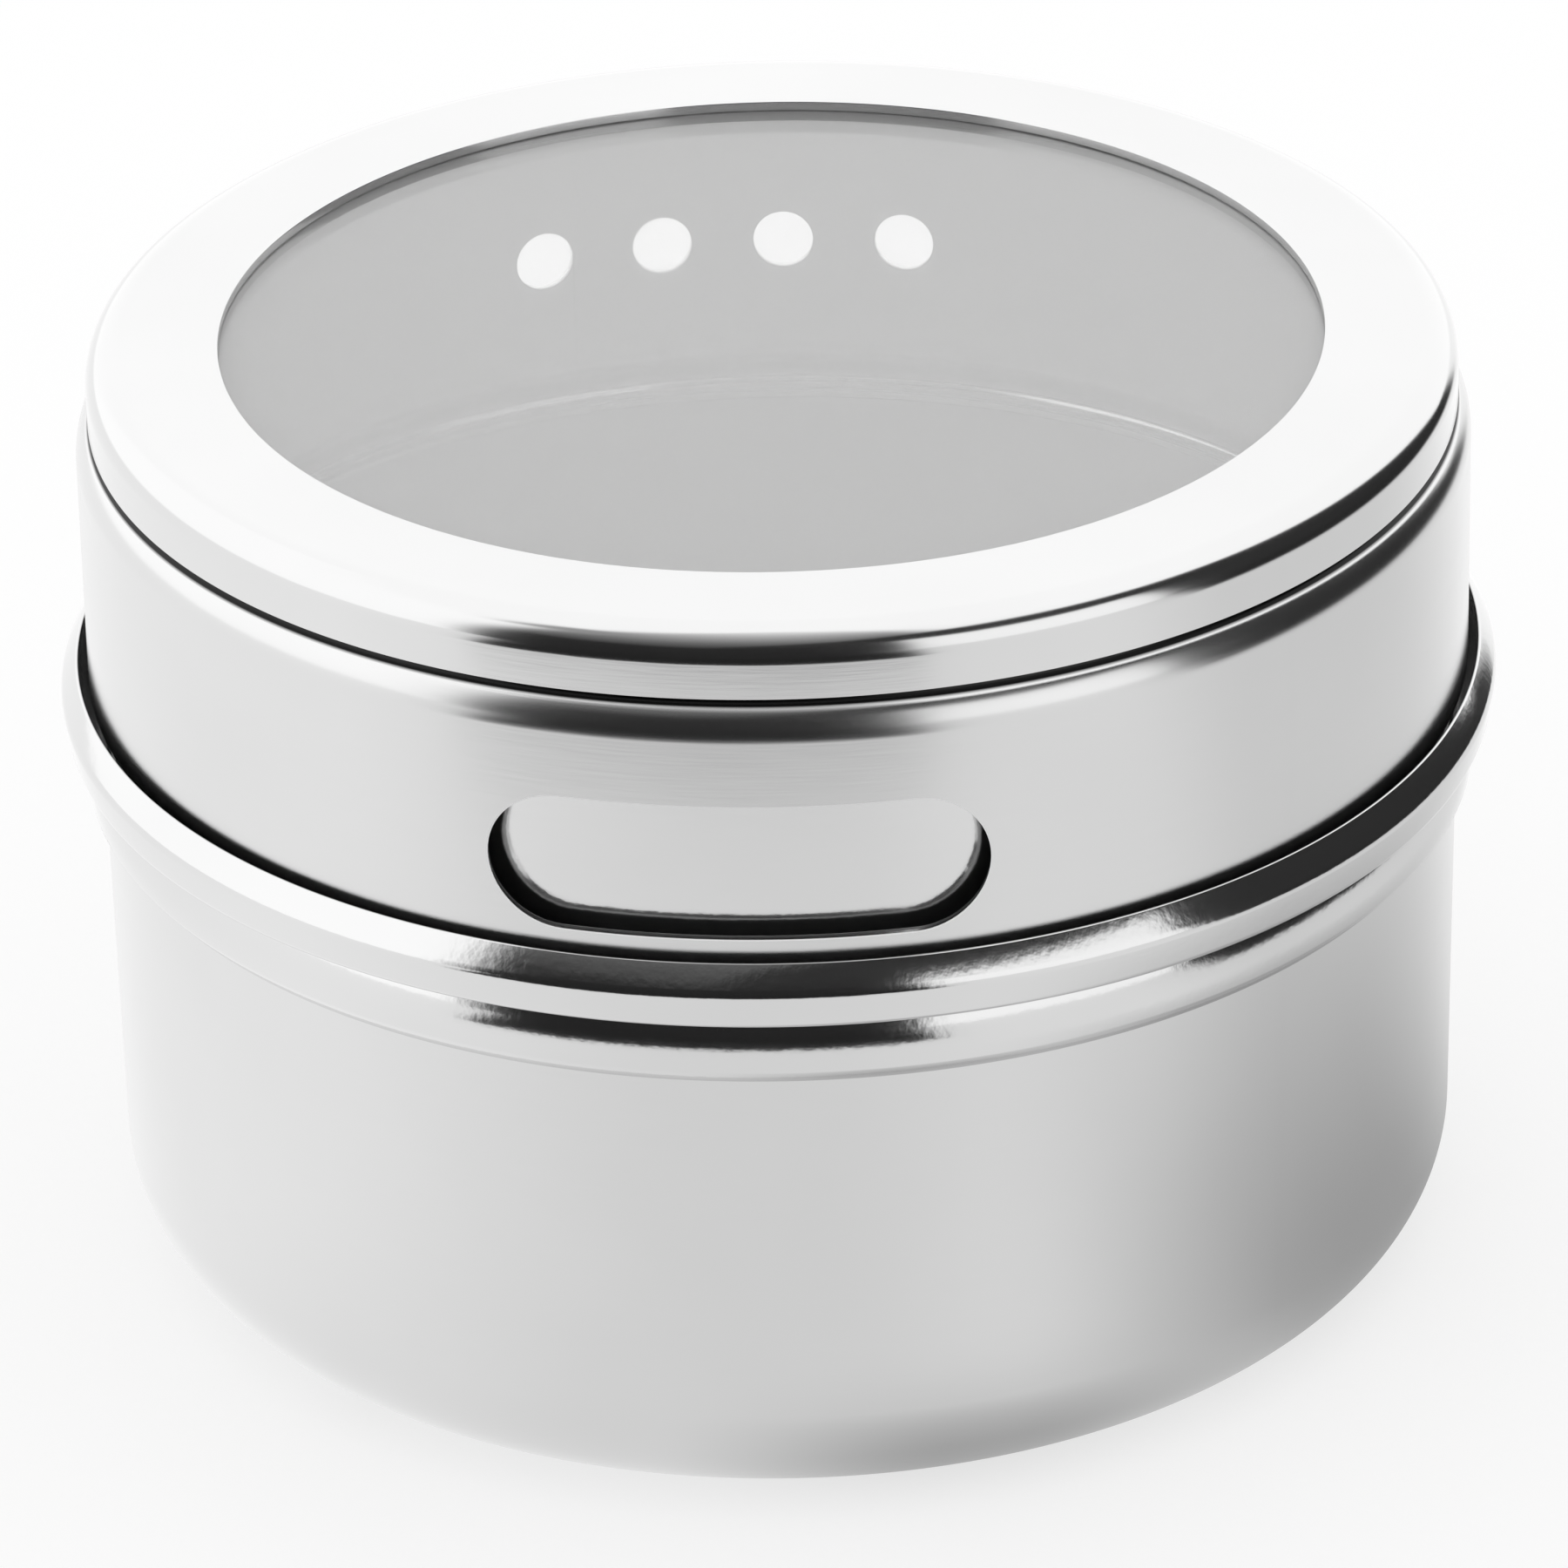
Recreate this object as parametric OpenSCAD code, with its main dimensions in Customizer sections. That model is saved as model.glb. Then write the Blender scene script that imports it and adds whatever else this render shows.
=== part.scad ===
// Magnetic seasoning box: a drawn steel cup with a fixed neck ring, a turning lid with
// two slots and a clear window, and a magnet held in a pocket under the base.
// Z is up, the box stands on z = 0 and the lid's front slot faces -Y.

/* [Cup] */
// Outer diameter at the top of the cup's wall
cup_d = 63; // [50:0.5:80]
// Height of the cup's rim above the base
cup_h = 26; // [18:0.5:60]
// How much smaller the foot's radius is than the rim's
cup_taper = 0.2; // [0:0.05:0.6]
// Thickness of the cup's sheet
cup_wall = 0.4; // [0.3:0.05:0.6]
// Outer radius of the bend between wall and base
cup_corner = 5.7; // [3:0.1:8]
// Radius of the bends at the magnet pocket, on their tight side
pocket_bend = 0.5; // [0.3:0.05:0.8]

/* [Neck ring] */
// Thickness of the ring's sheet
ring_wall = 0.4; // [0.3:0.05:0.5]
// How far the neck stands in from the cup's wall
neck_step = 0.7; // [0.6:0.05:1.2]
// Height of the neck above the cup's rim
neck_h = 15.1; // [14:0.1:24]
// Radius of the roll on the neck's mouth
mouth_roll = 0.6; // [0.55:0.05:0.9]
// Radius of the bend where the neck turns out over the cup's rim
neck_bend = 0.3; // [0.2:0.05:0.4]
// Height of the lip over the cup's rim
lip_h = 3.55; // [3:0.05:4]
// Thickness of the folded lip
lip_t = 0.85; // [0.75:0.05:1.2]
// Radius at the lip's inner edge
lip_edge = 0.15; // [0.1:0.05:0.25]
// Height of the lip's rounded outer face
lip_shoulder = 1.35; // [0.9:0.05:1.5]
// Height from the lip's crest to the underside of the upper bead
upper_bead_h = 3.05; // [2.8:0.05:3.2]
// How much the upper bead draws in towards its lower edge
upper_bead_taper = 0.18; // [0:0.02:0.3]
// Radius under the upper bead
upper_bead_edge = 0.35; // [0.2:0.05:0.5]
// How far the lower bead stands out from the cup's wall
lower_bead_out = 0.8; // [0.7:0.05:1]
// Height from the groove down to the widest point of the lower bead
lower_bead_drop = 1.7; // [1:0.05:2]
// Height of the lower bead below its widest point
lower_bead_h = 1.65; // [1.2:0.05:2]

/* [Lid] */
// Thickness of the lid's sheet
lid_wall = 0.45; // [0.3:0.05:0.6]
// Inner radius of the bend between the lid's ledge and its step
ledge_bend = 0.15; // [0.1:0.05:0.3]
// How far the skirt stands out from the bezel
skirt_step = 0.6; // [0.5:0.05:1]
// Radius of the skirt's shoulder
skirt_round = 1.7; // [1.4:0.1:2]
// Radius of the hem at the skirt's lower edge
hem_round = 0.75; // [0.65:0.05:0.9]
// Height of the bezel's band
bezel_h = 3.15; // [2.8:0.05:3.6]
// Radius of the bezel's outer edge
bezel_round = 1.5; // [1:0.1:2]
// Diameter of the opening over the window
window_view_d = 50.6; // [36:0.2:54]
// Width of the ledge that carries the window
window_ledge = 2.3; // [1.5:0.1:3]
// Thickness of the window
window_t = 1; // [0.8:0.1:1.6]

/* [Openings] */
// Width of the lid's two slots
slot_w = 22; // [21.5:0.25:26]
// Height of the lid's two slots
slot_h = 6.5; // [5:0.25:7.5]
// Direction of the front slot, in degrees from +X
slot_angle = -93.6; // [-110:0.1:-70]
// Width of the neck's pour opening
pour_w = 20; // [12:0.5:24]
// Height of the neck's pour opening
pour_h = 6.5; // [5:0.25:7]
// Turn from the shaking holes to the pour opening, in degrees
pour_turn = -90; // [-120:1:-70]
// Diameter of a shaking hole
hole_d = 2.9; // [1.5:0.1:3.5]
// Number of shaking holes
hole_count = 4; // [3:1:5]
// Distance between shaking holes along the neck
hole_pitch = 6; // [4.5:0.1:6.5]
// Direction of the row of shaking holes and of the rear slot over them, in degrees from +X
hole_angle = 94.3; // [80:0.1:110]
// How far the row of holes lies above the middle of the slot
hole_rise = 1.1; // [0:0.1:1.5]

/* [Magnet] */
// Diameter of the magnet
magnet_d = 30; // [20:0.5:36]
// Thickness of the magnet
magnet_t = 3; // [2:0.25:6]
// Thickness of the adhesive pad
pad_t = 0.5; // [0.3:0.1:1]
// Thickness of the cap's walls
cap_wall = 0.8; // [0.6:0.1:1.2]

/* [Fits] */
// Radial gap between the neck and the lid's wall
lid_gap = 0.75; // [0.65:0.05:1]
// Gap between the neck's mouth and the foot of the step above it
lid_seat = 0.25; // [0.2:0.05:0.4]
// Gap between the lid's hem and the neck that it turns on
hem_fit = 0.3; // [0.25:0.05:0.4]
// Gap between the lid's skirt and the lip outside it
lip_fit = 0.45; // [0.25:0.05:0.6]
// Height of the hem over the floor of the trough
hem_clear = 1.8; // [1.6:0.05:2]
// Gap between sheets that are crimped together
crimp_gap = 0.05; // [0.03:0.01:0.08]
// Gap above and below the window
window_play = 0.05; // [0.03:0.01:0.1]
// Gap between the window's edge and the bezel round it
window_fit = 0.1; // [0.05:0.05:0.3]
// Gap round the magnet in its cap
magnet_fit = 0.2; // [0.1:0.05:0.3]
// Gap under the magnet, and between the cap's rim and the pocket
cap_play = 0.05; // [0.03:0.01:0.1]
// Gap between the cap and its pocket
pocket_fit = 0.15; // [0.1:0.05:0.3]
// How far the cap is set in from the base
cap_inset = 0.1; // [0.05:0.05:0.3]

/* [Hidden] */
$fn = 96;

// Cup and its magnet pocket
cup_r = cup_d / 2;
foot_r = cup_r - cup_taper;
cap_r = magnet_d / 2 + magnet_fit + cap_wall;
pocket_r = cap_r + pocket_fit;
pad_inset = 0.5;
magnet_z = cap_inset + cap_wall + cap_play;
pad_z = magnet_z + magnet_t;
pocket_h = pad_z + pad_t;

// Neck ring, from the axis outwards and from the crest down
neck_r = cup_r - neck_step;
neck_top = cup_h + neck_h;
trough_z = cup_h + ring_wall;
skirt_r = neck_r + lid_gap + lid_wall;
lip_r = skirt_r + lip_fit;
bead_r = lip_r + lip_t;
crest_z = cup_h + lip_h;
upper_r = bead_r - upper_bead_taper;
groove_top = crest_z - upper_bead_h;
crimp_r = cup_r + crimp_gap;
groove_r = crimp_r + ring_wall;
groove_bend = 0.25;
trough_edge = 0.2;
tip_t = 0.1;
blend_turn = 1;
lip_in = lip_t - lip_edge;
lip_fall = lip_shoulder - lip_edge;
lip_round = (lip_in * lip_in + lip_fall * lip_fall - lip_edge * lip_edge) / (2 * (lip_in - lip_edge));
lip_turn = atan2(lip_fall, lip_round - lip_in);
lower_r = cup_r + lower_bead_out;
lower_z = groove_top - lower_bead_drop;
ring_bottom = lower_z - lower_bead_h;
groove_out = lower_r - groove_r;
groove_drop = lower_bead_drop - groove_bend;
lower_round = (groove_out * groove_out + groove_drop * groove_drop) / (2 * groove_out);
lower_start = asin(groove_drop / lower_round) - blend_turn;

// Lid, from its wall inwards. The foot of its step lies just over the neck's mouth
band_r = skirt_r - skirt_step;
step_r = band_r - lid_wall - crimp_gap;
shoulder_r = skirt_r - skirt_round;
shoulder_inner = skirt_round - lid_wall;
step_foot = step_r - lid_wall - shoulder_r;
shoulder_z = neck_top + lid_seat - sqrt(shoulder_inner * shoulder_inner - step_foot * step_foot);
shoulder_start = acos((step_r - shoulder_r) / skirt_round);
bezel_bottom = shoulder_z + skirt_round + crimp_gap;
lid_top = bezel_bottom + bezel_h;
window_z = lid_top - lid_wall - window_play - window_t;
ledge_top = window_z - window_play;
step_bend = lid_wall + ledge_bend;
view_r = window_view_d / 2;
edge_break = 0.15;
window_r = band_r - bezel_round - window_fit;
ledge_r = window_r - window_ledge;
hem_z = trough_z + hem_clear;
hem_r = neck_r + hem_fit;
hem_edge = 0.1;
hem_bend = min(hem_round, skirt_r - hem_r - hem_edge);

// Slots, pour opening and shaking holes share one height
slot_drop = 0.5;
slot_z = (shoulder_z + hem_z) / 2 - slot_drop;
hole_z = slot_z + hole_rise;
pour_angle = hole_angle + pour_turn;
hole_step = hole_pitch / neck_r * 180 / PI;
cut_l = 6;

// Points of an arc round [cx, cz] from angle a0 to a1
function arc(cx, cz, r, a0, a1, n = 6) =
    [for (i = [0:n]) let (a = a0 + (a1 - a0) * i / n) [cx + r * cos(a), cz + r * sin(a)]];

function direction(a, b) = (b - a) / norm(b - a);
function right_of(v) = [v[1], -v[0]];

// Where corner i of a path goes when the path is moved t to its right
function moved_corner(path, i, t) =
    let (last = len(path) - 1)
    let (before = right_of(direction(path[max(i, 1) - 1], path[max(i, 1)])))
    let (after = right_of(direction(path[min(i, last - 1)], path[min(i, last - 1) + 1])))
    path[i] + t * (before + after) / (1 + before * after);

// Closed outline of a sheet that is t thick, with the path as its left face
function sheet(path, t) =
    let (last = len(path) - 1)
    concat(path, [for (i = [last:-1:0]) moved_corner(path, i, t)]);

// Prism with round ends along +X, w wide and h high, for the openings in the walls
module slot_cutter(w, h) {
    translate([0, -(w - h) / 2, -h / 2])
        cube([cut_l, w - h, h]);
    for (side = [-1, 1])
        translate([0, side * (w - h) / 2, 0])
            rotate([0, 90, 0])
                cylinder(h = cut_l, d = h);
}

// Drawn steel cup: pocket ceiling, pocket wall, foot, corner and tapered wall
module cup() {
    underside = concat(
        [[0, pocket_h]],
        arc(pocket_r - pocket_bend, pocket_h - pocket_bend, pocket_bend, 90, 0, 4),
        arc(pocket_r + pocket_bend + cup_wall, pocket_bend + cup_wall,
            pocket_bend + cup_wall, 180, 270, 5),
        arc(foot_r - cup_corner, cup_corner, cup_corner, -90, 0, 10),
        [[cup_r, ring_bottom], [cup_r, cup_h]]);
    color("silver")
        rotate_extrude()
            polygon(sheet(underside, -cup_wall));
}

// Faces of the neck ring that look out: mouth roll, neck, trough, lip and both beads
function ring_outside() = concat(
    arc(neck_r - mouth_roll, neck_top - mouth_roll, mouth_roll, 180, 0, 8),
    arc(neck_r + neck_bend, trough_z + neck_bend, neck_bend, 180, 270, 4),
    [[crimp_r - trough_edge, trough_z], [lip_r, hem_z - lip_fit]],
    arc(lip_r + lip_edge, crest_z - lip_edge, lip_edge, 180, lip_turn + blend_turn, 3),
    arc(bead_r - lip_round, crest_z - lip_shoulder, lip_round, lip_turn, 0, 6),
    arc(upper_r - upper_bead_edge, groove_top + upper_bead_edge, upper_bead_edge, 0, -90, 4),
    arc(groove_r + groove_bend, groove_top - groove_bend, groove_bend, 90, 180, 3),
    arc(lower_r - lower_round, lower_z, lower_round, lower_start, 0, 4),
    [[crimp_r + tip_t, ring_bottom]]);

// Faces of the neck ring that look in, from the crimped edge up to the mouth roll
function ring_inside() = concat(
    [[crimp_r, ring_bottom], [crimp_r, ring_bottom + lower_bead_h / 2],
     [lower_r - ring_wall, lower_z], [crimp_r, lower_z + lower_bead_drop / 2], [crimp_r, cup_h]],
    arc(neck_r + neck_bend, trough_z + neck_bend, neck_bend + ring_wall, 270, 180, 4),
    arc(neck_r - mouth_roll, neck_top - mouth_roll, mouth_roll - ring_wall, 0, 180, 6));

// Pressed steel ring: the neck with its holes, and the folded lip that grips the cup
module neck_ring() {
    color("gainsboro")
        difference() {
            rotate_extrude()
                polygon(concat(ring_outside(), ring_inside()));
            rotate([0, 0, pour_angle])
                translate([neck_r - cut_l / 2, 0, slot_z])
                    slot_cutter(pour_w, pour_h);
            for (i = [0:hole_count - 1])
                rotate([0, 0, hole_angle + (i - (hole_count - 1) / 2) * hole_step])
                    translate([neck_r - cut_l / 2, 0, hole_z])
                        rotate([0, 90, 0])
                            cylinder(h = cut_l, d = hole_d);
        }
}

// Steel skirt of the lid: ledge, step, shoulder, wall with two slots, and turned-in hem
module lid_skirt() {
    outside = concat(
        [[ledge_r, ledge_top]],
        arc(step_r - step_bend, ledge_top - step_bend, step_bend, 90, 0, 4),
        arc(shoulder_r, shoulder_z, skirt_round, shoulder_start, 0, 8),
        arc(skirt_r - hem_bend, hem_z + hem_bend, hem_bend, 0, -90, 6),
        [[hem_r, hem_z]]);
    color("lightgray")
        difference() {
            rotate_extrude()
                polygon(sheet(outside, lid_wall));
            for (angle = [slot_angle, hole_angle])
                rotate([0, 0, angle])
                    translate([skirt_r - cut_l / 2, 0, slot_z])
                        slot_cutter(slot_w, slot_h);
        }
}

// Steel bezel pressed over the skirt's step, which holds the window down
module lid_bezel() {
    outside = concat(
        [[view_r, lid_top]],
        arc(band_r - bezel_round, lid_top - bezel_round, bezel_round, 90, 0, 8),
        [[band_r, bezel_bottom]]);
    color("whitesmoke")
        rotate_extrude()
            polygon(sheet(outside, lid_wall));
}

// Clear plastic disc between the ledge and the bezel, with its edges broken
module window_disc() {
    color([0.86, 0.9, 0.92, 0.4])
        translate([0, 0, window_z]) {
            cylinder(h = edge_break, r1 = window_r - edge_break, r2 = window_r);
            translate([0, 0, edge_break])
                cylinder(h = window_t - 2 * edge_break, r = window_r);
            translate([0, 0, window_t - edge_break])
                cylinder(h = edge_break, r1 = window_r, r2 = window_r - edge_break);
        }
}

// Ferrite disc
module magnet() {
    color("dimgray")
        translate([0, 0, magnet_z])
            cylinder(h = magnet_t, d = magnet_d);
}

// Double-sided foam pad that holds the magnet up against the cup
module magnet_pad() {
    color("white")
        translate([0, 0, pad_z])
            cylinder(h = pad_t, r = magnet_d / 2 - pad_inset);
}

// Moulded cap round the magnet, flush with the foot
module magnet_cap() {
    cap_top = pad_z - cap_play;
    color("darkgray")
        rotate_extrude()
            polygon([[0, cap_inset], [cap_r - pad_inset, cap_inset], [cap_r, cap_inset + pad_inset],
                     [cap_r, cap_top], [cap_r - cap_wall, cap_top],
                     [cap_r - cap_wall, cap_inset + cap_wall], [0, cap_inset + cap_wall]]);
}

cup();
neck_ring();
lid_skirt();
lid_bezel();
window_disc();
magnet();
magnet_pad();
magnet_cap();
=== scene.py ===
import math
import bmesh
import bpy
from mathutils import Matrix, Vector


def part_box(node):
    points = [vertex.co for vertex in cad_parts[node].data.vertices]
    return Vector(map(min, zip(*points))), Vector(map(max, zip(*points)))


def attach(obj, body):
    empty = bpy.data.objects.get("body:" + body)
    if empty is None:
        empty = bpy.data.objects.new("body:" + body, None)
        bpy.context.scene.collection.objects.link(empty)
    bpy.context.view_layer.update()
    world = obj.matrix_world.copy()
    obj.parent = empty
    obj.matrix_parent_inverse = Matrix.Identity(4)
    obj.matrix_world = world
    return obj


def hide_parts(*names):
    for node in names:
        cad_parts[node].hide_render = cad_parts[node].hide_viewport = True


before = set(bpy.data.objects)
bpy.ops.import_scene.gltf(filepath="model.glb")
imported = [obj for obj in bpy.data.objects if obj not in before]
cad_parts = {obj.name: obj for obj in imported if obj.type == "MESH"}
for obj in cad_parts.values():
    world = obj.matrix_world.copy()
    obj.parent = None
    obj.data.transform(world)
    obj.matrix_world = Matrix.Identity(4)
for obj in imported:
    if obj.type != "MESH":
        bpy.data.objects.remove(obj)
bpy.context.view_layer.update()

# Camera
# It stands in front of the lid's slot and looks down on the box, as a hand-held product shot does,
# with a long lens. It leans a little, so the box's right side lies higher in the picture.
MM = 0.001
aim = Vector((0.14, 0, 21.34)) * MM
camera_distance = 474.3 * MM
camera_rise = math.radians(27.618)
camera_lean = math.radians(1.251)
towards_camera = Vector((0, -math.cos(camera_rise), math.sin(camera_rise)))
sideways = Vector((1, 0, 0))
upright = sideways.cross(-towards_camera)
camera = bpy.data.objects.new("camera", bpy.data.cameras.new("camera"))
camera.data.sensor_width = 36
camera.data.lens = 232.65
camera.data.clip_start = 0.01
camera_axes = Matrix((
    sideways * math.cos(camera_lean) - upright * math.sin(camera_lean),
    sideways * math.sin(camera_lean) + upright * math.cos(camera_lean),
    towards_camera))
camera.matrix_world = Matrix.Translation(aim + towards_camera * camera_distance) \
    @ camera_axes.transposed().to_4x4()
bpy.context.scene.collection.objects.link(camera)
bpy.context.scene.camera = camera
bpy.context.scene.view_settings.view_transform = "Standard"

# Cup
# A cup drawn from one disc of thin stainless steel, with a wide rounded corner, a foot ring and a
# pocket pressed up into its base. Outside it has a fine satin polish, inside it is dull as drawn.


def arc(centre_r, centre_z, radius, start, end, steps=16):
    """Points of an arc in the (r, z) plane, in mm and degrees."""
    angles = [math.radians(start + (end - start) * i / steps) for i in range(steps + 1)]
    return [(centre_r + radius * math.cos(a), centre_z + radius * math.sin(a)) for a in angles]


def sheet(path, thickness):
    """Closed outline of a sheet whose left face is the path, or its right face where the thickness
    is negative."""
    points = [Vector(p) for p in path]
    other = []
    for i, point in enumerate(points):
        before = (points[max(i, 1)] - points[max(i, 1) - 1]).normalized()
        after = (points[min(i + 1, len(points) - 1)] - points[min(i, len(points) - 2)]).normalized()
        sides = Vector((before.y, -before.x)) + Vector((after.y, -after.x))
        other.append(point + sides * thickness / (1 + before.dot(after)))
    return [tuple(p) for p in points + other[::-1]]


def rounded(outline, radius, *corners, steps=4):
    """The outline with these corners rounded off."""
    result = []
    for i, point in enumerate(outline):
        if i not in [c % len(outline) for c in corners]:
            result.append(point)
            continue
        corner = Vector(point)
        start = corner + (Vector(outline[i - 1]) - corner).normalized() * radius
        end = corner + (Vector(outline[(i + 1) % len(outline)]) - corner).normalized() * radius
        for step in range(steps + 1):
            t = step / steps
            result.append(tuple(start * (1 - t) ** 2 + corner * 2 * t * (1 - t) + end * t ** 2))
    return result


def add(tree, kind, inputs=(), **settings):
    """Adds a node with its settings. Its inputs, by name or in order, are values, sockets or nodes,
    and a node stands for its first output."""
    node = tree.nodes.new(kind)
    for name, value in settings.items():
        setattr(node, name, value)
    for name, value in (inputs if isinstance(inputs, dict) else dict(enumerate(inputs))).items():
        if isinstance(value, bpy.types.Node):
            value = value.outputs[0]
        if isinstance(value, bpy.types.NodeSocket):
            tree.links.new(value, node.inputs[name])
        else:
            node.inputs[name].default_value = value
    return node


def geometry_tree(name, sockets):
    """An empty Geometry Nodes tree with these named inputs, and its input sockets."""
    tree = bpy.data.node_groups.new(name, "GeometryNodeTree")
    tree.interface.new_socket("Geometry", in_out="OUTPUT", socket_type="NodeSocketGeometry")
    tree.interface.new_socket("Geometry", in_out="INPUT", socket_type="NodeSocketGeometry")
    for socket_name, kind in sockets.items():
        tree.interface.new_socket(socket_name, in_out="INPUT", socket_type="NodeSocket" + kind)
    return tree, add(tree, "NodeGroupInput").outputs


def finish_tree(tree, geometry, material):
    """Ends a tree in real geometry with its material."""
    real = add(tree, "GeometryNodeRealizeInstances", (geometry,))
    smooth = add(tree, "GeometryNodeSetShadeSmooth", (real,))
    painted = add(tree, "GeometryNodeSetMaterial", {0: smooth, "Material": material})
    add(tree, "NodeGroupOutput", (painted,))


def spinning_tree():
    """Turns an outline round the upright axis: a grid with one row for each point of the outline."""
    seam_reach = 0.0001 * MM
    tree, given = geometry_tree("Spun sheet", {"Steps": "Int", "Material": "Material"})
    count = add(tree, "GeometryNodeAttributeDomainSize", (given["Geometry"],))
    columns = add(tree, "ShaderNodeMath", (given["Steps"], 1.0), operation="ADD")
    grid = add(tree, "GeometryNodeMeshGrid", {
        "Vertices X": count.outputs["Point Count"], "Vertices Y": columns})
    index = add(tree, "GeometryNodeInputIndex")
    row = add(tree, "ShaderNodeMath", (index, columns), operation="DIVIDE")
    row = add(tree, "ShaderNodeMath", (row,), operation="FLOOR")
    column = add(tree, "ShaderNodeMath", (index, columns), operation="MODULO")
    point = add(tree, "GeometryNodeSampleIndex", {
        0: given["Geometry"], "Value": add(tree, "GeometryNodeInputPosition"), "Index": row},
        data_type="FLOAT_VECTOR")
    place = add(tree, "ShaderNodeSeparateXYZ", (point,)).outputs
    turn = add(tree, "ShaderNodeMath", (column, given["Steps"]), operation="DIVIDE")
    turn = add(tree, "ShaderNodeMath", (turn, math.tau), operation="MULTIPLY")
    sides = []
    for side in ("COSINE", "SINE"):
        part = add(tree, "ShaderNodeMath", (turn,), operation=side)
        sides.append(add(tree, "ShaderNodeMath", (part, place["X"]), operation="MULTIPLY"))
    spot = add(tree, "ShaderNodeCombineXYZ", (*sides, place["Z"]))
    spun = add(tree, "GeometryNodeSetPosition", {0: grid.outputs["Mesh"], "Position": spot})
    closed = add(tree, "GeometryNodeMergeByDistance", {0: spun, "Distance": seam_reach})
    finish_tree(tree, closed, given["Material"])
    return tree


def run_tree(piece, tree, **values):
    """Puts a tree on a piece and sets its named inputs."""
    modifier = piece.modifiers.new(tree.name, "NODES")
    modifier.node_group = tree
    for item in tree.interface.items_tree:
        if item.in_out == "INPUT" and item.name in values:
            modifier[item.identifier] = values[item.name]


def settle(piece):
    """Turns what the modifiers show into the piece's own plain mesh."""
    shown = piece.evaluated_get(bpy.context.evaluated_depsgraph_get())
    mesh = bpy.data.meshes.new_from_object(shown)
    piece.modifiers.clear()
    piece.data = mesh
    mesh.name = piece.name
    return mesh


sharp_bend = math.radians(50)


def keep_flats(piece):
    """Marks bends over 50 degrees sharp, and keeps flats and straight walls true beside the others.
    On a piece that has such marks already, as after punching, part of them is lost."""
    piece.data.set_sharp_from_angle(angle=sharp_bend)
    weights = piece.modifiers.new("Weighted normals", "WEIGHTED_NORMAL")
    weights.keep_sharp = True
    settle(piece)


spun_sheet = spinning_tree()


def spun_piece(name, outline, material, steps=384):
    """A piece whose outline, in mm, is turned round the upright axis. An outline that starts and
    ends on the axis isn't closed along it."""
    points = list(outline)
    if points[0][0] > 0 or points[-1][0] > 0:
        points.append(points[0])
    mesh = bpy.data.meshes.new(name)
    mesh.from_pydata([(r * MM, 0, z * MM) for r, z in points],
                     [(i, i + 1) for i in range(len(points) - 1)], [])
    piece = bpy.data.objects.new(name, mesh)
    bpy.context.scene.collection.objects.link(piece)
    run_tree(piece, spun_sheet, Steps=steps, Material=material)
    mesh = settle(piece)
    form = bmesh.new()
    form.from_mesh(mesh)
    bmesh.ops.recalc_face_normals(form, faces=form.faces)
    form.to_mesh(mesh)
    form.free()
    keep_flats(piece)
    return piece


def linear(colour):
    """An sRGB hex colour as linear red, green, blue and alpha."""
    parts = [int(colour[i:i + 2], 16) / 255 for i in (1, 3, 5)]
    return [c / 12.92 if c <= 0.04045 else ((c + 0.055) / 1.055) ** 2.4 for c in parts] + [1]


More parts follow.
